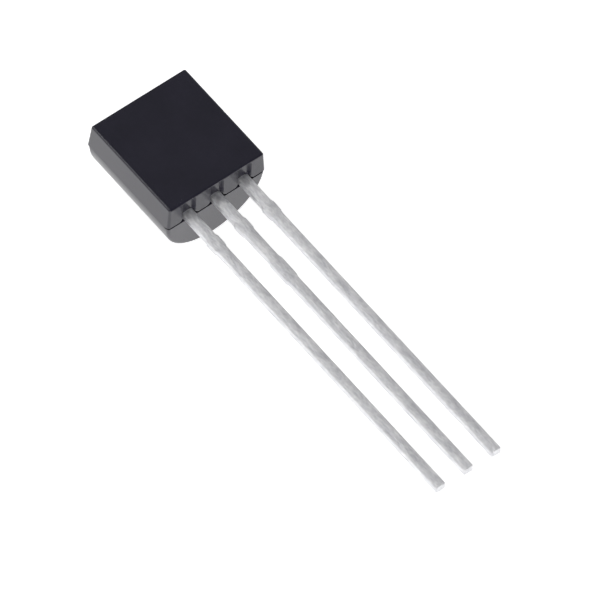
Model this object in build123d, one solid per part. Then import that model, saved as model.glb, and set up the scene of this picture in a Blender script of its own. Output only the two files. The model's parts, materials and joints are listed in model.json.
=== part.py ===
from build123d import *

import os
from math import asin, atan2, cos, degrees, hypot, radians, sin, tan

# A three-lead transistor in a moulded half-round package, lying on its round back with the tips
# of its leads on the same surface. Sizes are in millimetres and angles in degrees.
#
# Every piece is drawn in the package's own axes first: X across the leads, Y along them with the
# tips towards -Y and Y = 0 where the leads leave the package, and Z towards the flat face with
# Z = 0 at the parting plane between the two halves of the mould.

# Moulded package
package_width = 4.48  # of the front half, at the parting plane
package_length = 4.80  # of the front half along the leads, at the parting plane
front_depth = 1.12  # from the parting plane to the flat face
front_draft = 4.0  # of the four sides of the front half
back_draft = 4.0  # of the two ends of the round back
mould_step = 0.03  # the front half stands this far past the back half all round
corner_round = 0.11  # of the front half's four corners and of the rims of the round back
flat_edge_round = 0.065
relief_width = 0.50  # recess in the front half's end, over each lead
relief_depth = 0.14
relief_brow = 0.10  # the recess stops this far below the flat face

# Leads, stamped from one strip whose back lies in the parting plane
lead_pitch = 1.27
lead_thickness = 0.38
lead_width = 0.42
lead_reach = 14.55  # from the package to the tips
tie_width = 0.51  # of the stretches where tie bars were cut off
first_tie_start = 1.25  # the first such stretch, on every lead, from the package outwards
first_tie_length = 0.65
second_tie_start = 3.33  # the second one, on the middle lead only
second_tie_length = 1.10
shear_slope = 0.10  # length over which a wide stretch narrows to the lead

# The ends of the leads inside the package
anchor_width = 0.84  # wings that keep a lead from pulling out
anchor_start = 0.45
anchor_length = 0.30
inner_start = 1.50  # where the posts and the paddle begin
post_width = 0.70
post_length = 0.65
paddle_width = 1.10
paddle_length = 1.70

# Die and bond wires
die_size = 0.42
die_thickness = 0.20
attach_thickness = 0.02
attach_margin = 0.04  # the attach layer shows this far past each side of the die
pad_offset = 0.11  # of each bond pad from the die's centre, across the leads
wire_diameter = 0.04
ball_diameter = 0.10
ball_height = 0.03
loop_rise = 0.17  # of the wire's centre line above the die
end_bend = 0.45  # share of the shorter run that each bend takes up

# Places that follow from the sizes
back_radius = package_width / 2 - mould_step
back_end = back_radius * tan(radians(back_draft))
post_y = inner_start + post_length / 2
die_y = inner_start + paddle_length / 2
attach_z = lead_thickness + attach_thickness
die_top = attach_z + die_thickness
tip_y = -lead_reach


def block(x, y, z):
    """A box from its (low, high) values along each axis."""
    size = [high - low for low, high in (x, y, z)]
    centre = [(low + high) / 2 for low, high in (x, y, z)]
    return Pos(*centre) * Box(*size)


def strip(outline):
    """A piece of the lead strip from its outline in X and Y."""
    return extrude(make_face(Polyline(*outline, close=True)), lead_thickness)


def bar(centre, width, low, high):
    """A plain stretch of the lead strip, running along Y."""
    half = width / 2
    return block((centre - half, centre + half), (low, high), (0, lead_thickness))


def tie_stretch(centre, start, length):
    """A wide stretch of a lead, narrowing to the lead's own width over the shear slope at both ends."""
    wide, narrow = tie_width / 2, lead_width / 2
    low, high = -start - length, -start
    return strip(
        [
            (centre - narrow, high),
            (centre - wide, high - shear_slope),
            (centre - wide, low + shear_slope),
            (centre - narrow, low),
            (centre + narrow, low),
            (centre + wide, low + shear_slope),
            (centre + wide, high - shear_slope),
            (centre + narrow, high),
        ]
    )


def lead(centre):
    """A lead from its tip to its anchor wings and on to the start of its inner end."""
    shape = bar(centre, lead_width, tip_y, inner_start)
    shape += tie_stretch(centre, first_tie_start, first_tie_length)
    return shape + bar(centre, anchor_width, anchor_start, anchor_start + anchor_length)


def outer_lead(side):
    """An outer lead, which ends in a bond post. side is -1 for the left and 1 for the right."""
    centre = side * lead_pitch
    return lead(centre) + bar(centre, post_width, inner_start, inner_start + post_length)


def middle_lead():
    """The middle lead, with a second wide stretch outside and the die's paddle inside."""
    shape = lead(0) + bar(0, paddle_width, inner_start, inner_start + paddle_length)
    return shape + tie_stretch(0, second_tie_start, second_tie_length)


def die_attach():
    half = die_size / 2 + attach_margin
    return block((-half, half), (die_y - half, die_y + half), (lead_thickness, attach_z))


def silicon_die():
    half = die_size / 2
    return block((-half, half), (die_y - half, die_y + half), (attach_z, die_top))


def bond_wire(side):
    """A ball on the die's pad and a wire that rises from it, crosses over and ends on a post."""
    foot = (side * pad_offset, die_y, die_top)
    crest = (side * pad_offset, die_y, die_top + loop_rise)
    over_post = (side * lead_pitch, post_y, die_top + loop_rise)
    end = (side * lead_pitch, post_y, lead_thickness)
    route = FilletPolyline(foot, crest, over_post, end, radius=end_bend * loop_rise)
    wire = sweep(Plane(foot) * Circle(wire_diameter / 2), path=route)
    ball = Cylinder(ball_diameter / 2, ball_height, align=(Align.CENTER, Align.CENTER, Align.MIN))
    return wire + Pos(*foot) * ball


def front_half():
    """The drafted block in front of the parting plane, with the recesses over the leads."""
    base = Pos(0, package_length / 2) * Rectangle(package_width, package_length)
    shape = extrude(base, front_depth, taper=front_draft)
    corners = [edge for edge in shape.edges() if edge.bounding_box().size.Z > front_depth / 2]
    shape = fillet(corners, corner_round)
    shape = fillet(shape.faces().sort_by(Axis.Z)[-1].edges(), flat_edge_round)
    half = relief_width / 2
    for centre in (-lead_pitch, 0, lead_pitch):
        across = (centre - half, centre + half)
        shape -= block(across, (-relief_depth, relief_depth), (lead_thickness, front_depth - relief_brow))
    return shape


def back_half():
    """The half-round block behind the parting plane, narrowing towards its deepest line at both ends."""
    round_face = make_face(
        ThreePointArc((-back_radius, 0), (0, -back_radius), (back_radius, 0))
        + Line((back_radius, 0), (-back_radius, 0))
    )
    half_round = extrude(Plane.XZ * round_face, -package_length)
    near, far = mould_step, package_length - mould_step
    side_face = make_face(
        Polyline(
            (near, 0),
            (near + back_end, -back_radius),
            (far - back_end, -back_radius),
            (far, 0),
            close=True,
        )
    )
    shape = half_round & extrude(Plane.YZ * side_face, package_width, both=True)
    rims = shape.edges().filter_by(lambda edge: edge.geom_type != GeomType.LINE)
    return fillet(rims, corner_round)


def moulded_body(inside):
    """The package, moulded around the pieces that are inside it."""
    shape = front_half() + back_half()
    for piece in inside:
        shape -= piece
    return shape


pieces = {
    "lead_left": outer_lead(-1),
    "lead_middle": middle_lead(),
    "lead_right": outer_lead(1),
    "die_attach": die_attach(),
    "silicon_die": silicon_die(),
    "bond_wire_left": bond_wire(-1),
    "bond_wire_right": bond_wire(1),
}
pieces["moulded_body"] = moulded_body(pieces.values())


def rest_tilt():
    """The angle at which the rounded lower rim of the back, at the lead end, and the tips of the
    leads touch one plane."""
    draft = radians(back_draft)
    rim_z = corner_round - back_radius
    rim_y = mould_step + (corner_round - rim_z * sin(draft)) / cos(draft)
    along = rim_y - tip_y
    return degrees(atan2(-rim_z, along) + asin(corner_round / hypot(along, rim_z)))


# Turned to lie at rest, then moved so that the origin is at the middle of the base of its box
turned = {name: Rot(X=rest_tilt()) * piece for name, piece in pieces.items()}
whole = Compound(list(turned.values())).bounding_box()
to_rest = Pos(-whole.center().X, -whole.center().Y, -whole.min.Z)

os.makedirs("parts", exist_ok=True)
for name, piece in turned.items():
    export_step(to_rest * piece, f"parts/{name}.step")
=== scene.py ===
import json
from math import atan2, cos, hypot, pi, radians, sin, tan

import bpy
from mathutils import Matrix, Vector


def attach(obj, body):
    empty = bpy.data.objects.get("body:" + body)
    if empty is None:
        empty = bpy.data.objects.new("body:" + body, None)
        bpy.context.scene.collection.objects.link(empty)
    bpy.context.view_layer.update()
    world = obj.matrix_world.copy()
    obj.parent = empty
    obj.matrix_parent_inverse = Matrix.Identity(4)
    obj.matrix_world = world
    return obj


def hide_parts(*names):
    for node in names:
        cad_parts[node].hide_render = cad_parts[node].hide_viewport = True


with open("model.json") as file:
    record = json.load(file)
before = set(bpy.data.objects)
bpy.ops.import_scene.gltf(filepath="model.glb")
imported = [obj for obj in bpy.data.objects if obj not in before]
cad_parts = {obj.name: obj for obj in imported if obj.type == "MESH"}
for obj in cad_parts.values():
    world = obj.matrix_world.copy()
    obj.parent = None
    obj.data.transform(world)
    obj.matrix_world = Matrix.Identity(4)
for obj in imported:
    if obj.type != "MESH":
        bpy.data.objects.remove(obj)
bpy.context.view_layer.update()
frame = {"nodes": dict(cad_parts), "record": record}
print("frame loaded")

# The package's own axes, in millimetres: X across the leads, Y along them with the tips towards -Y,
# Z towards the flat face. Y = 0 where the leads come out and Z = 0 at the mould's parting plane.
leadSizes = {
    "pitch": 1.27,
    "thickness": 0.38,
    "width": 0.42,
    "reach": 14.55,
    "wideWidth": 0.51,  # where tie bars were cut off
    "firstTieStart": 1.25,
    "firstTieLength": 0.65,
    "secondTieStart": 3.33,  # middle lead only
    "secondTieLength": 1.10,
    "shearSlope": 0.10,
    "anchorWidth": 0.84,  # inside the package, from here down
    "anchorStart": 0.45,
    "anchorLength": 0.30,
    "innerStart": 1.50,
    "postWidth": 0.70,
    "postLength": 0.65,
    "paddleWidth": 1.10,
    "paddleLength": 1.70,
}

mounts = {mount["name"]: mount for mount in frame["record"]["mounts"]}
flatAxis = Vector(mounts["front_flat"]["axis"])
restTurn = Matrix.Rotation(atan2(-flatAxis.y, flatAxis.z), 4, "X")
tipCentre = Vector((0, -leadSizes["reach"], leadSizes["thickness"] / 2))
tipPlace = Vector(mounts["lead_middle_end"]["pos_m"]) * 1000
packageToRow = (
    Matrix.Scale(0.001, 4) @ Matrix.Translation(tipPlace - restTurn @ tipCentre) @ restTurn
)


def link(thing):
    bpy.context.scene.collection.objects.link(thing)
    return thing


def finishPiece(name, mesh, material, nodeName, sharpAngle):
    """Puts a mesh drawn in the package's axes in its place and ties it to the frame."""
    mesh.transform(packageToRow)
    mesh.name = name
    if material:
        mesh.materials.clear()
        mesh.materials.append(material)
    mesh.shade_smooth()
    mesh.set_sharp_from_angle(angle=radians(sharpAngle))
    piece = link(bpy.data.objects.new(name, mesh))
    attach(piece, "root")
    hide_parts(nodeName)
    return piece


# ---------------------------------------------------------------- materials


def newSocket(tree, name, direction, kind, value=None):
    socket = tree.interface.new_socket(name=name, in_out=direction, socket_type=kind)
    if value is not None:
        socket.default_value = value
    return socket


def mixColour(nodes, factorLink, links, low, high):
    """A colour mix of two values or links; returns its output."""
    node = nodes.new("ShaderNodeMix")
    node.data_type = "RGBA"
    links.new(factorLink, node.inputs["Factor"])
    for slotIndex, value in ((6, low), (7, high)):
        if hasattr(value, "links"):
            links.new(value, node.inputs[slotIndex])
        else:
            node.inputs[slotIndex].default_value = value
    return node.outputs[2]


def buildMottle():
    """Uneven tint, gloss and relief from two scales of noise, shared by every finish."""
    tree = bpy.data.node_groups.new("mottle", "ShaderNodeTree")
    newSocket(tree, "Vector", "INPUT", "NodeSocketVector")
    newSocket(tree, "Patch Scale", "INPUT", "NodeSocketFloat", 900.0)
    newSocket(tree, "Grain Scale", "INPUT", "NodeSocketFloat", 9000.0)
    newSocket(tree, "Grain Share", "INPUT", "NodeSocketFloat", 0.4)
    newSocket(tree, "Low Colour", "INPUT", "NodeSocketColor", (0.1, 0.1, 0.1, 1))
    newSocket(tree, "High Colour", "INPUT", "NodeSocketColor", (0.2, 0.2, 0.2, 1))
    newSocket(tree, "Low Roughness", "INPUT", "NodeSocketFloat", 0.3)
    newSocket(tree, "High Roughness", "INPUT", "NodeSocketFloat", 0.5)
    newSocket(tree, "Colour", "OUTPUT", "NodeSocketColor")
    newSocket(tree, "Roughness", "OUTPUT", "NodeSocketFloat")
    newSocket(tree, "Height", "OUTPUT", "NodeSocketFloat")
    nodes, links = tree.nodes, tree.links
    given = nodes.new("NodeGroupInput")
    out = nodes.new("NodeGroupOutput")
    noises = {}
    for name in ("Patch Scale", "Grain Scale"):
        noise = nodes.new("ShaderNodeTexNoise")
        noise.inputs["Detail"].default_value = 3.0
        links.new(given.outputs["Vector"], noise.inputs["Vector"])
        links.new(given.outputs[name], noise.inputs["Scale"])
        noises[name] = noise.outputs["Fac"]
    blend = nodes.new("ShaderNodeMix")  # float mix
    links.new(given.outputs["Grain Share"], blend.inputs["Factor"])
    links.new(noises["Patch Scale"], blend.inputs[2])
    links.new(noises["Grain Scale"], blend.inputs[3])
    spread = nodes.new("ShaderNodeMapRange")
    spread.inputs["From Min"].default_value = 0.3
    spread.inputs["From Max"].default_value = 0.7
    links.new(blend.outputs[0], spread.inputs["Value"])
    tint = mixColour(
        nodes, spread.outputs[0], links, given.outputs["Low Colour"], given.outputs["High Colour"]
    )
    gloss = nodes.new("ShaderNodeMapRange")
    links.new(spread.outputs[0], gloss.inputs["Value"])
    links.new(given.outputs["Low Roughness"], gloss.inputs["To Min"])
    links.new(given.outputs["High Roughness"], gloss.inputs["To Max"])
    links.new(tint, out.inputs["Colour"])
    links.new(gloss.outputs[0], out.inputs["Roughness"])
    links.new(blend.outputs[0], out.inputs["Height"])
    return tree


mottle = buildMottle()


def finishMaterial(name, look):
    """A material from one mottle, stretched and turned to run along the leads where it has a streak."""
    material = bpy.data.materials.new(name)
    material.use_nodes = True
    nodes, links = material.node_tree.nodes, material.node_tree.links
    shader = nodes["Principled BSDF"]
    place = nodes.new("ShaderNodeTexCoord")
    lay = nodes.new("ShaderNodeMapping")
    lay.inputs["Rotation"].default_value = (-restTurn.to_euler().x, 0, 0)
    lay.inputs["Scale"].default_value = (1, look["streak"], 1)
    links.new(place.outputs["Object"], lay.inputs["Vector"])
    group = nodes.new("ShaderNodeGroup")
    group.node_tree = mottle
    links.new(lay.outputs["Vector"], group.inputs["Vector"])
    group.inputs["Patch Scale"].default_value = look["patchScale"]
    group.inputs["Grain Scale"].default_value = look["grainScale"]
    group.inputs["Grain Share"].default_value = look["grainShare"]
    group.inputs["Low Colour"].default_value = (*look["lowColour"], 1)
    group.inputs["High Colour"].default_value = (*look["highColour"], 1)
    group.inputs["Low Roughness"].default_value = look["lowRoughness"]
    group.inputs["High Roughness"].default_value = look["highRoughness"]
    bump = nodes.new("ShaderNodeBump")
    bump.inputs["Strength"].default_value = look["bumpStrength"]
    bump.inputs["Distance"].default_value = look["bumpDepth"]
    links.new(group.outputs["Height"], bump.inputs["Height"])
    links.new(group.outputs["Colour"], shader.inputs["Base Color"])
    links.new(group.outputs["Roughness"], shader.inputs["Roughness"])
    links.new(bump.outputs["Normal"], shader.inputs["Normal"])
    shader.inputs["Metallic"].default_value = look["metallic"]
    shader.inputs["IOR"].default_value = look["ior"]
    return material


mouldLook = {
    "streak": 1.0,
    "patchScale": 700.0,
    "grainScale": 14000.0,
    "grainShare": 0.5,
    "lowColour": (0.0042, 0.0034, 0.0130),
    "highColour": (0.0080, 0.0064, 0.0215),
    "lowRoughness": 0.20,
    "highRoughness": 0.28,
    "bumpStrength": 0.25,
    "bumpDepth": 0.000004,
    "metallic": 0.0,
    "ior": 1.68,
}
tinLook = {
    "streak": 0.3,
    "patchScale": 4200.0,
    "grainScale": 15000.0,
    "grainShare": 0.45,
    "lowColour": (0.58, 0.58, 0.61),
    "highColour": (1.0, 1.0, 1.0),
    "lowRoughness": 0.32,
    "highRoughness": 0.60,
    "bumpStrength": 1.0,
    "bumpDepth": 0.00008,
    "metallic": 0.75,
    "ior": 1.5,
}
siliconLook = {
    **mouldLook,
    "lowColour": (0.22, 0.23, 0.26),
    "highColour": (0.34, 0.35, 0.40),
    "lowRoughness": 0.12,
    "highRoughness": 0.22,
    "metallic": 0.6,
}
attachLook = {
    **mouldLook,
    "grainScale": 30000.0,
    "lowColour": (0.50, 0.50, 0.50),
    "highColour": (0.68, 0.68, 0.67),
    "lowRoughness": 0.5,
    "highRoughness": 0.7,
    "metallic": 0.7,
}
goldLook = {
    **tinLook,
    "streak": 1.0,
    "lowColour": (0.86, 0.62, 0.22),
    "highColour": (0.97, 0.78, 0.34),
    "lowRoughness": 0.16,
    "highRoughness": 0.28,
}
mouldCompound = finishMaterial("mouldCompound", mouldLook)
tinnedLead = finishMaterial("tinnedLead", tinLook)
polishedSilicon = finishMaterial("polishedSilicon", siliconLook)
silverEpoxy = finishMaterial("silverEpoxy", attachLook)
goldWire = finishMaterial("goldWire", goldLook)

carriedOver = {
    "silicon_die": (polishedSilicon, "silicon"),
    "die_attach": (silverEpoxy, "silver_epoxy"),
    "bond_wire_left": (goldWire, "gold_wire"),
    "bond_wire_right": (goldWire, "gold_wire"),
}
for nodeName, (material, slotName) in carriedOver.items():
    node = frame["nodes"][nodeName]
    node.data.materials.clear()
    node.data.materials.append(material)
print("finishes made")

# ---------------------------------------------------------------- moulded package

packageSizes = {
    "width": 4.48,
    "length": 4.80,
    "depth": 1.12,  # from the parting plane to the flat
    "frontDraft": 4.0,
    "backDraft": 4.0,
    "step": 0.03,  # the front half stands past the back half
    "cornerRound": 0.11,
    "flatRound": 0.065,
    "padWidth": 0.80,  # raised pads of the lead end, between the leads
    "padCorner": 0.26,
    "padFoot": 0.045,  # groove under the pads, above the parting plane
    "padEdge": 0.08,
    "reliefDepth": 0.14,
    "reliefTop": 1.0,  # the recesses stop short of the flat
}
packageMesh = {
    "endStep": 0.02,  # spacing of the points across the lead end
    "cornerSteps": 6,
    "sideSteps": 40,
    "levelStep": 0.03,
    "filletSteps": 6,
    "arcSteps": 96,
    "support": 0.02,
}


def smoothStep(low, high, value):
    share = min(1.0, max(0.0, (value - low) / (high - low)))
    return share * share * (3 - 2 * share)


def padDistance(x, z):
    """How far a point of the lead end is outside the nearest raised pad; less than 0 on a pad."""
    pitch = leadSizes["pitch"]
    half = packageSizes["padWidth"] / 2
    corner = packageSizes["padCorner"]
    nearest = 9.0
    for centre, reach in ((-pitch / 2, half), (pitch / 2, half), (-2.5 * pitch, pitch + half), (2.5 * pitch, pitch + half)):
        outX = abs(x - centre) - reach + corner
        outZ = corner + packageSizes["padFoot"] - z
        distance = min(max(outX, outZ), 0.0) + hypot(max(outX, 0.0), max(outZ, 0.0)) - corner
        nearest = min(nearest, distance)
    return nearest


def relief(x, z):
    """Depth of the lead end's recess at a point, behind the pads' faces."""
    edge, brow = packageSizes["padEdge"], packageSizes["reliefTop"]
    share = smoothStep(-edge, edge / 2, padDistance(x, z)) * (1 - smoothStep(brow, brow + edge, z))
    return packageSizes["reliefDepth"] * share


def buildStations():
    """Shares along one half of the outline, from the middle of the lead end to the middle of the far end."""
    half = packageSizes["width"] / 2 - packageSizes["step"] - packageSizes["cornerRound"]
    count = round(half / packageMesh["endStep"])
    near = [("near", i / count) for i in range(count)] + [("near", 1 - packageMesh["support"] / half)]
    corner = [("nearCorner", i / packageMesh["cornerSteps"]) for i in range(packageMesh["cornerSteps"] + 1)]
    support = packageMesh["support"] / packageSizes["length"]
    side = [("side", support)]
    side += [("side", i / packageMesh["sideSteps"]) for i in range(1, packageMesh["sideSteps"])]
    side += [("side", 1 - support)]
    farCorner = [("farCorner", share) for _, share in corner]
    far = [("far", packageMesh["support"] / half)] + [("far", i / 20) for i in range(1, 21)]
    return near + corner + side + farCorner + far


def outlinePoint(station, halfWidth, nearY, farY, round_):
    """A point of a rounded outline in X and Y, for X of 0 or more."""
    part, share = station
    turn = share * pi / 2
    if part == "near":
        return share * (halfWidth - round_), nearY
    if part == "nearCorner":
        return halfWidth - round_ + round_ * sin(turn), nearY + round_ - round_ * cos(turn)
    if part == "side":
        return halfWidth, nearY + round_ + share * (farY - nearY - 2 * round_)
    if part == "farCorner":
        return halfWidth - round_ + round_ * cos(turn), farY - round_ + round_ * sin(turn)
    return (1 - share) * (halfWidth - round_), farY


stations = buildStations()


def fullLoop(pointAt):
    """Both halves of an outline, joined where they share a point in the middle of each end."""
    right = [pointAt(station, 1) for station in stations]
    left = [pointAt(station, -1) for station in reversed(stations[1:-1])]
    return right + left


def frontLevels():
    """Height, inset and rounding of each outline of the front half, upwards to the flat."""
    depth, flatRound = packageSizes["depth"], packageSizes["flatRound"]
    slope = tan(radians(packageSizes["frontDraft"]))
    straightTop = depth - flatRound
    count = round(straightTop / packageMesh["levelStep"])
    levels = [(i * straightTop / count, i * straightTop / count * slope) for i in range(count + 1)]
    levels.insert(-1, (straightTop - packageMesh["support"] / 2, (straightTop - packageMesh["support"] / 2) * slope))
    for i in range(1, packageMesh["filletSteps"] + 1):
        turn = i / packageMesh["filletSteps"] * pi / 2
        rise = flatRound * sin(turn)
        levels.append((straightTop + rise, (straightTop + rise) * slope + flatRound * (1 - cos(turn))))
    levels.append((depth, levels[-1][1] + packageMesh["support"] * 1.5))
    return levels


def frontLoop(z, inset):
    half = packageSizes["width"] / 2 - inset
    corner = max(packageSizes["cornerRound"] - inset * 0.4, 0.03)

    def pointAt(station, side):
        x, y = outlinePoint(station, half, inset, packageSizes["length"] - inset, corner)
        if station[0] in ("near", "nearCorner"):
            y += relief(side * x, z)
        return Vector((side * x, y, z))

    return fullLoop(pointAt)


def backLoop(turn):
    """Half an outline of the back, from the middle of the lead end to the middle of the far end, at an
    angle round the back from the +X side."""
    radius = packageSizes["width"] / 2 - packageSizes["step"]
    rim = packageSizes["cornerRound"]
    slope = tan(radians(packageSizes["backDraft"]))
    down = sin(turn)
    points = []
    for station in stations:
        share, y = outlinePoint(station, radius, 0, packageSizes["length"], rim)
        near = packageSizes["step"] + share * down * slope
        y = near + y * (packageSizes["length"] - 2 * near) / packageSizes["length"]
        points.append(Vector((share * cos(turn), y, -share * down)))
    return points


def joinLoops(faces, first, second, closed):
    count = len(first)
    for i in range(count if closed else count - 1):
        after = (i + 1) % count
        faces.append((first[i], first[after], second[after], second[i]))


def buildPackage():
    points, faces = [], []

    def addPoints(newPoints):
        start = len(points)
        points.extend(newPoints)
        return list(range(start, start + len(newPoints)))

    loops = [addPoints(frontLoop(z, inset)) for z, inset in frontLevels()]
    for lower, upper in zip(loops, loops[1:]):
        joinLoops(faces, lower, upper, True)
    faces.append(loops[-1])  # the flat

    count = len(stations)
    arcs = packageMesh["arcSteps"]
    nearPole, farPole = None, None
    rows = []
    for i in range(arcs + 1):
        row = backLoop(i * pi / arcs)
        if nearPole is None:
            ends = addPoints([row[0], row[-1]])
            nearPole, farPole = ends
        rows.append([nearPole, *addPoints(row[1:-1]), farPole])
    for upper, lower in zip(rows, rows[1:]):
        joinLoops(faces, lower, upper, False)

    # the step at the parting plane, between the front half's lowest outline and the back's edge
    rim = rows[0] + list(reversed(rows[-1][1:-1]))
    joinLoops(faces, rim, loops[0], True)
    mesh = bpy.data.meshes.new("mouldedPackage")
    mesh.from_pydata([tuple(point) for point in points], [], faces)
    return mesh, count


def closeMesh(mesh):
    """Merges doubled points, drops faces with no area and points every face outwards."""
    import bmesh

    shape = bmesh.new()
    shape.from_mesh(mesh)
    bmesh.ops.remove_doubles(shape, verts=shape.verts, dist=0.0005)
    bmesh.ops.dissolve_degenerate(shape, edges=shape.edges, dist=0.0001)
    bmesh.ops.recalc_face_normals(shape, faces=shape.faces)
    openEdges = [edge for edge in shape.edges if len(edge.link_faces) != 2]
    shape.to_mesh(mesh)
    shape.free()
    return len(openEdges)


packageShape, stationCount = buildPackage()
openCount = closeMesh(packageShape)
package = finishPiece(
    "mouldedPackage", packageShape, mouldCompound, "moulded_body", 40
)
print(f"package made: {len(package.data.polygons)} faces, {openCount} open edges")

# ---------------------------------------------------------------- leads

leadMesh = {
    "edgeRound": 0.02,
    "edgeSteps": 4,
    "sectionPoints": 40,
    "crown": 0.04,
    "ringStep": 0.025,
    "tipRound": 0.02,
    "ripple": 0.004,
    "rippleScale": 3.2,
}


def buildLeadTree():
    """A stamped strip along Y from its tip inwards: width changes by a rule along its length."""
    tree = bpy.data.node_groups.new("stampedLead", "GeometryNodeTree")
    tree.is_modifier = True
    names = (
        "Reach", "Width", "Thickness", "Edge Round", "Tip Round", "Ring Step", "Wide Width",
        "First Start", "First Length", "Second Start", "Second Length", "Shear Slope", "Anchor Width", "Anchor Start",
        "Anchor Length", "Inner Start", "Inner Width", "Inner Length", "Ripple", "Ripple Scale",
        "Crown",
    )
    for name in names:
        newSocket(tree, name, "INPUT", "NodeSocketFloat")
    newSocket(tree, "Seed", "INPUT", "NodeSocketFloat")
    newSocket(tree, "Material", "INPUT", "NodeSocketMaterial")
    newSocket(tree, "Geometry", "OUTPUT", "NodeSocketGeometry")
    nodes, links = tree.nodes, tree.links
    given = nodes.new("NodeGroupInput").outputs
    out = nodes.new("NodeGroupOutput")

    def feed(socket, value):
        if hasattr(value, "links"):
            links.new(value, socket)
        else:
            socket.default_value = value

    def maths(operation, first, second=0.0):
        node = nodes.new("ShaderNodeMath")
        node.operation = operation
        feed(node.inputs[0], first)
        feed(node.inputs[1], second)
        return node.outputs[0]

    def vector(x=0.0, y=0.0, z=0.0):
        node = nodes.new("ShaderNodeCombineXYZ")
        for socket, value in zip(node.inputs, (x, y, z)):
            feed(socket, value)
        return node.outputs[0]

    def ramp(value, low, high, atLow, atHigh):
        node = nodes.new("ShaderNodeMapRange")
        for socketName, number in (
            ("Value", value), ("From Min", low), ("From Max", high), ("To Min", atLow), ("To Max", atHigh),
        ):
            feed(node.inputs[socketName], number)
        return node.outputs[0]

    def window(value, low, lowRamp, high, highRamp):
        """1 between low and high, with a ramp outside each."""
        rise = ramp(value, maths("SUBTRACT", low, lowRamp), low, 0.0, 1.0)
        fall = ramp(value, high, maths("ADD", high, highRamp), 1.0, 0.0)
        return maths("MULTIPLY", rise, fall)

    line = nodes.new("GeometryNodeCurvePrimitiveLine")
    inEnd = maths("ADD", given["Inner Start"], given["Inner Length"])
    links.new(vector(y=maths("MULTIPLY", given["Reach"], -1.0)), line.inputs["Start"])
    links.new(vector(y=inEnd), line.inputs["End"])
    steps = nodes.new("GeometryNodeResampleCurve")
    steps.mode = "LENGTH"
    links.new(line.outputs[0], steps.inputs["Curve"])
    links.new(given["Ring Step"], steps.inputs["Length"])

    section = nodes.new("GeometryNodeCurvePrimitiveQuadrilateral")
    links.new(given["Width"], section.inputs["Width"])
    links.new(given["Thickness"], section.inputs["Height"])
    rounded = nodes.new("GeometryNodeFilletCurve")
    rounded.mode = "POLY"
    links.new(section.outputs[0], rounded.inputs["Curve"])
    links.new(given["Edge Round"], rounded.inputs["Radius"])
    rounded.inputs["Count"].default_value = leadMesh["edgeSteps"]
    bar = nodes.new("GeometryNodeCurveToMesh")
    bar.inputs["Fill Caps"].default_value = True
    links.new(steps.outputs[0], bar.inputs["Curve"])
    evened = nodes.new("GeometryNodeResampleCurve")
    evened.inputs["Count"].default_value = leadMesh["sectionPoints"]
    links.new(rounded.outputs[0], evened.inputs["Curve"])
    links.new(evened.outputs[0], bar.inputs["Profile Curve"])

    place = nodes.new("GeometryNodeInputPosition").outputs[0]
    split = nodes.new("ShaderNodeSeparateXYZ")
    links.new(place, split.inputs[0])
    x, y, z = split.outputs
    thin = 0.02
    wideGain = maths("SUBTRACT", given["Wide Width"], given["Width"])
    slope = given["Shear Slope"]
    ties = []
    for order in ("First", "Second"):
        high = maths("SUBTRACT", maths("MULTIPLY", given[order + " Start"], -1.0), slope)
        low = maths("ADD", maths("SUBTRACT", high, given[order + " Length"]), maths("MULTIPLY", slope, 2.0))
        present = ramp(given[order + " Length"], 0.0, 0.01, 0.0, 1.0)
        ties.append(maths("MULTIPLY", present, window(y, low, slope, high, slope)))
    gain = maths("MULTIPLY", wideGain, maths("MAXIMUM", *ties))
    anchorHigh = maths("ADD", given["Anchor Start"], given["Anchor Length"])
    anchor = window(y, given["Anchor Start"], thin, anchorHigh, thin)
    anchorGain = maths("SUBTRACT", given["Anchor Width"], given["Width"])
    gain = maths("MAXIMUM", gain, maths("MULTIPLY", anchorGain, anchor))
    inner = window(y, given["Inner Start"], thin, 9.0, thin)
    innerGain = maths("SUBTRACT", given["Inner Width"], given["Width"])
    gain = maths("MAXIMUM", gain, maths("MULTIPLY", innerGain, inner))
    across = maths("DIVIDE", x, maths("MULTIPLY", given["Width"], 0.5))  # -1 to 1
    sideways = maths("MULTIPLY", across, maths("MULTIPLY", gain, 0.5))
    crown = maths("MULTIPLY", maths("MULTIPLY", across, across), given["Crown"])

    # the tip's edges are eased, and the strip's faces wander a little where it is outside
    tipShare = ramp(
        maths("ADD", y, given["Reach"]), 0.0, maths("MULTIPLY", given["Ring Step"], 0.9), 1.0, 0.0
    )
    ease = maths("MULTIPLY", tipShare, given["Tip Round"])
    easeX = maths("MULTIPLY", maths("SIGN", x), maths("MULTIPLY", ease, -1.0))
    easeZ = maths("MULTIPLY", maths("DIVIDE", z, maths("MULTIPLY", given["Thickness"], 0.5)), maths("MULTIPLY", maths("ADD", ease, crown), -1.0))
    noise = nodes.new("ShaderNodeTexNoise")
    noise.noise_dimensions = "4D"
    links.new(given["Seed"], noise.inputs["W"])
    links.new(given["Ripple Scale"], noise.inputs["Scale"])
    noise.inputs["Detail"].default_value = 2.0
    outside = ramp(y, -0.05, 0.15, 1.0, 0.0)
    wander = maths("MULTIPLY", maths("SUBTRACT", noise.outputs["Fac"], 0.75), given["Ripple"])
    wander = maths("MULTIPLY", maths("MULTIPLY", wander, outside), maths("SUBTRACT", 1.0, tipShare))
    face = nodes.new("GeometryNodeInputNormal").outputs[0]
    push = nodes.new("ShaderNodeVectorMath")
    push.operation = "SCALE"
    links.new(face, push.inputs[0])
    links.new(wander, push.inputs["Scale"])
    shift = nodes.new("ShaderNodeVectorMath")
    shift.operation = "ADD"
    links.new(vector(x=maths("ADD", sideways, easeX), z=easeZ), shift.inputs[0])
    links.new(push.outputs[0], shift.inputs[1])
    move = nodes.new("GeometryNodeSetPosition")
    links.new(bar.outputs[0], move.inputs["Geometry"])
    links.new(shift.outputs[0], move.inputs["Offset"])

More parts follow.
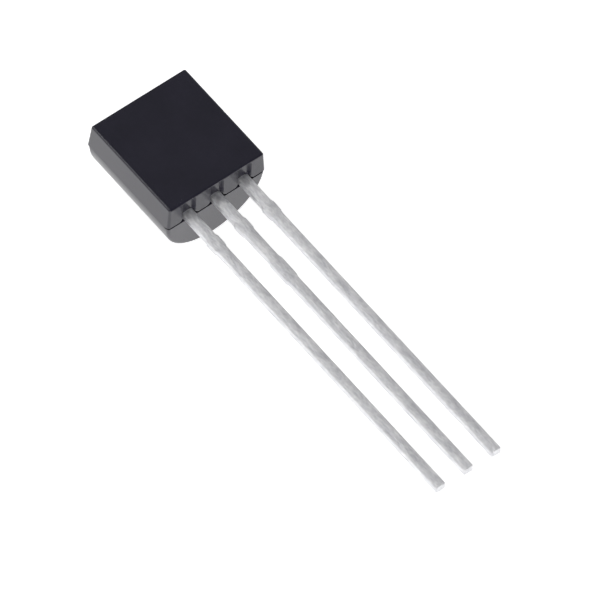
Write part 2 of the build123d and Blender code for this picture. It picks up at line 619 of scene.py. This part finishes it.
    real = nodes.new("GeometryNodeRealizeInstances")
    links.new(move.outputs[0], real.inputs[0])
    paint = nodes.new("GeometryNodeSetMaterial")
    links.new(real.outputs[0], paint.inputs["Geometry"])
    links.new(given["Material"], paint.inputs["Material"])
    links.new(paint.outputs[0], out.inputs["Geometry"])
    return tree


leadTree = buildLeadTree()


def buildLead(side, seed, innerWidth, innerLength, secondTie):
    """One lead as a plain mesh in the package's axes. side is -1, 0 or 1."""
    holder = link(bpy.data.objects.new("leadHolder", bpy.data.meshes.new("leadHolder")))
    modifier = holder.modifiers.new("stampedLead", "NODES")
    modifier.node_group = leadTree
    values = {
        "Reach": leadSizes["reach"],
        "Width": leadSizes["width"],
        "Thickness": leadSizes["thickness"],
        "Edge Round": leadMesh["edgeRound"],
        "Tip Round": leadMesh["tipRound"],
        "Ring Step": leadMesh["ringStep"],
        "Wide Width": leadSizes["wideWidth"],
        "First Start": leadSizes["firstTieStart"],
        "First Length": leadSizes["firstTieLength"],
        "Second Start": leadSizes["secondTieStart"],
        "Second Length": secondTie,
        "Shear Slope": leadSizes["shearSlope"],
        "Anchor Width": leadSizes["anchorWidth"],
        "Anchor Start": leadSizes["anchorStart"],
        "Anchor Length": leadSizes["anchorLength"],
        "Inner Start": leadSizes["innerStart"],
        "Inner Width": innerWidth,
        "Inner Length": innerLength,
        "Ripple": leadMesh["ripple"],
        "Ripple Scale": leadMesh["rippleScale"],
        "Crown": leadMesh["crown"],
        "Seed": seed,
        "Material": tinnedLead,
    }
    for item in leadTree.interface.items_tree:
        if item.item_type == "SOCKET" and item.in_out == "INPUT":
            modifier[item.identifier] = values[item.name]
    bpy.context.view_layer.update()
    evaluated = holder.evaluated_get(bpy.context.evaluated_depsgraph_get())
    mesh = bpy.data.meshes.new_from_object(evaluated)
    holder.modifiers.remove(modifier)
    bpy.data.objects.remove(holder)
    mesh.transform(Matrix.Translation((side * leadSizes["pitch"], 0, leadSizes["thickness"] / 2)))
    return mesh


leadRows = (
    ("leadLeft", "lead_left", -1, 3.1, "post", 0.0),
    ("leadMiddle", "lead_middle", 0, 7.7, "paddle", leadSizes["secondTieLength"]),
    ("leadRight", "lead_right", 1, 12.4, "post", 0.0),
)
for name, nodeName, side, seed, inner, secondTie in leadRows:
    shape = buildLead(side, seed, leadSizes[inner + "Width"], leadSizes[inner + "Length"], secondTie)
    openCount = closeMesh(shape)
    lead = finishPiece(name, shape, tinnedLead, nodeName, 40)
    print(f"{name} made: {len(lead.data.polygons)} faces, {openCount} open edges")

# ---------------------------------------------------------------- floor, light and camera

stageLook = {
    "floorSize": 3.0,
    "floorColour": (0.86, 0.86, 0.86),
    "floorLift": 0.75,  # brightness added for the camera and for reflections
    "skyLow": (1.0, 1.0, 1.0),
    "skyHigh": (0.07, 0.07, 0.075),
    "skyEdge": (0.03, 0.20),  # sine of the elevation where the pale horizon ends
}


def buildFloor():
    half = stageLook["floorSize"] / 2
    mesh = bpy.data.meshes.new("floor")
    mesh.from_pydata([(-half, -half, 0), (half, -half, 0), (half, half, 0), (-half, half, 0)], [], [(0, 1, 2, 3)])
    material = bpy.data.materials.new("paleFloor")
    material.use_nodes = True
    nodes, links = material.node_tree.nodes, material.node_tree.links
    shader = nodes["Principled BSDF"]
    shader.inputs["Roughness"].default_value = 0.9
    shader.inputs["Specular IOR Level"].default_value = 0.0
    shader.inputs["Base Color"].default_value = (*stageLook["floorColour"], 1)
    path = nodes.new("ShaderNodeLightPath")
    seen = nodes.new("ShaderNodeMath")
    seen.operation = "MAXIMUM"
    links.new(path.outputs["Is Camera Ray"], seen.inputs[0])
    links.new(path.outputs["Is Glossy Ray"], seen.inputs[1])
    seenToo = nodes.new("ShaderNodeMath")
    seenToo.operation = "MAXIMUM"
    links.new(seen.outputs[0], seenToo.inputs[0])
    links.new(path.outputs["Is Transmission Ray"], seenToo.inputs[1])
    lift = nodes.new("ShaderNodeMath")
    lift.operation = "MULTIPLY"
    lift.inputs[1].default_value = stageLook["floorLift"]
    links.new(seenToo.outputs[0], lift.inputs[0])
    shader.inputs["Emission Color"].default_value = (1, 1, 1, 1)
    links.new(lift.outputs[0], shader.inputs["Emission Strength"])
    # from underneath, the floor is clear, so the piece can be seen from there too
    side = nodes.new("ShaderNodeNewGeometry")
    clear = nodes.new("ShaderNodeBsdfTransparent")
    either = nodes.new("ShaderNodeMixShader")
    links.new(side.outputs["Backfacing"], either.inputs[0])
    links.new(shader.outputs[0], either.inputs[1])
    links.new(clear.outputs[0], either.inputs[2])
    links.new(either.outputs[0], nodes["Material Output"].inputs["Surface"])
    mesh.materials.append(material)
    floor = link(bpy.data.objects.new("floor", mesh))
    return floor


def buildSky():
    world = bpy.data.worlds.new("studio")
    bpy.context.scene.world = world
    world.use_nodes = True
    nodes, links = world.node_tree.nodes, world.node_tree.links
    background = nodes["Background"]
    place = nodes.new("ShaderNodeTexCoord")
    split = nodes.new("ShaderNodeSeparateXYZ")
    links.new(place.outputs["Generated"], split.inputs[0])
    ramp = nodes.new("ShaderNodeMapRange")
    ramp.interpolation_type = "SMOOTHSTEP"
    ramp.inputs["From Min"].default_value = stageLook["skyEdge"][0]
    ramp.inputs["From Max"].default_value = stageLook["skyEdge"][1]
    links.new(split.outputs[2], ramp.inputs["Value"])
    colour = mixColour(
        nodes, ramp.outputs[0], links, (*stageLook["skyLow"], 1), (*stageLook["skyHigh"], 1)
    )
    links.new(colour, background.inputs["Color"])
    background.inputs["Strength"].default_value = 1.0


# each lamp's direction from the object, distance, width and share of full light on a sheet facing it
lamps = {
    "facingPanel": ((0.42, 0.42, 0.80), 0.6, 0.55, 0.038),
    "topLamp": ((-0.08, 0.42, 0.905), 0.6, 0.22, 0.15),
    "edgeLamp": ((-0.66, 0.42, 0.62), 0.6, 0.45, 0.19),
    "leftLamp": ((-0.55, -0.65, 0.52), 0.6, 0.35, 0.45),
    "rightLamp": ((0.86, -0.10, 0.52), 0.6, 0.60, 0.24),
}


def buildLamp(name, direction, distance, width, share):
    lamp = bpy.data.lights.new(name, "AREA")
    lamp.shape = "SQUARE"
    lamp.size = width
    lamp.energy = share * pi * pi * distance * distance
    holder = link(bpy.data.objects.new(name, lamp))
    towards = Vector(direction).normalized()
    holder.location = towards * distance
    holder.rotation_mode = "QUATERNION"
    holder.rotation_quaternion = towards.to_track_quat("Z", "Y")


cameraLook = {
    "lens": 800.0,
    "sensor": 36.0,
    "frameWidth": 0.02172,  # seen across the frame at the aimed point
    "right": (0.78396, -0.61876, 0.05049),  # the frame's axes, in the package's axes
    "up": (0.49240, 0.66926, 0.55644),
    "aim": (0.990, -3.809, -2.679),  # the middle of the picture, in the package's axes
}


def buildCamera():
    data = bpy.data.cameras.new("camera")
    data.lens = cameraLook["lens"]
    data.sensor_width = cameraLook["sensor"]
    data.clip_start = 0.01
    data.clip_end = 5.0
    camera = link(bpy.data.objects.new("camera", data))
    right, up = Vector(cameraLook["right"]), Vector(cameraLook["up"])
    aim = packageToRow @ Vector(cameraLook["aim"])
    turn = restTurn.to_3x3()
    right, up = (turn @ right).normalized(), (turn @ up).normalized()
    back = right.cross(up).normalized()
    up = back.cross(right)
    distance = cameraLook["frameWidth"] * cameraLook["lens"] / cameraLook["sensor"]
    rotation = Matrix((right, up, back)).transposed()
    camera.matrix_world = Matrix.Translation(aim + back * distance) @ rotation.to_4x4()
    bpy.context.scene.camera = camera


floor = buildFloor()
buildSky()
for name, values in lamps.items():
    buildLamp(name, *values)
buildCamera()
bpy.context.scene.view_settings.view_transform = "Standard"
print("stage made")
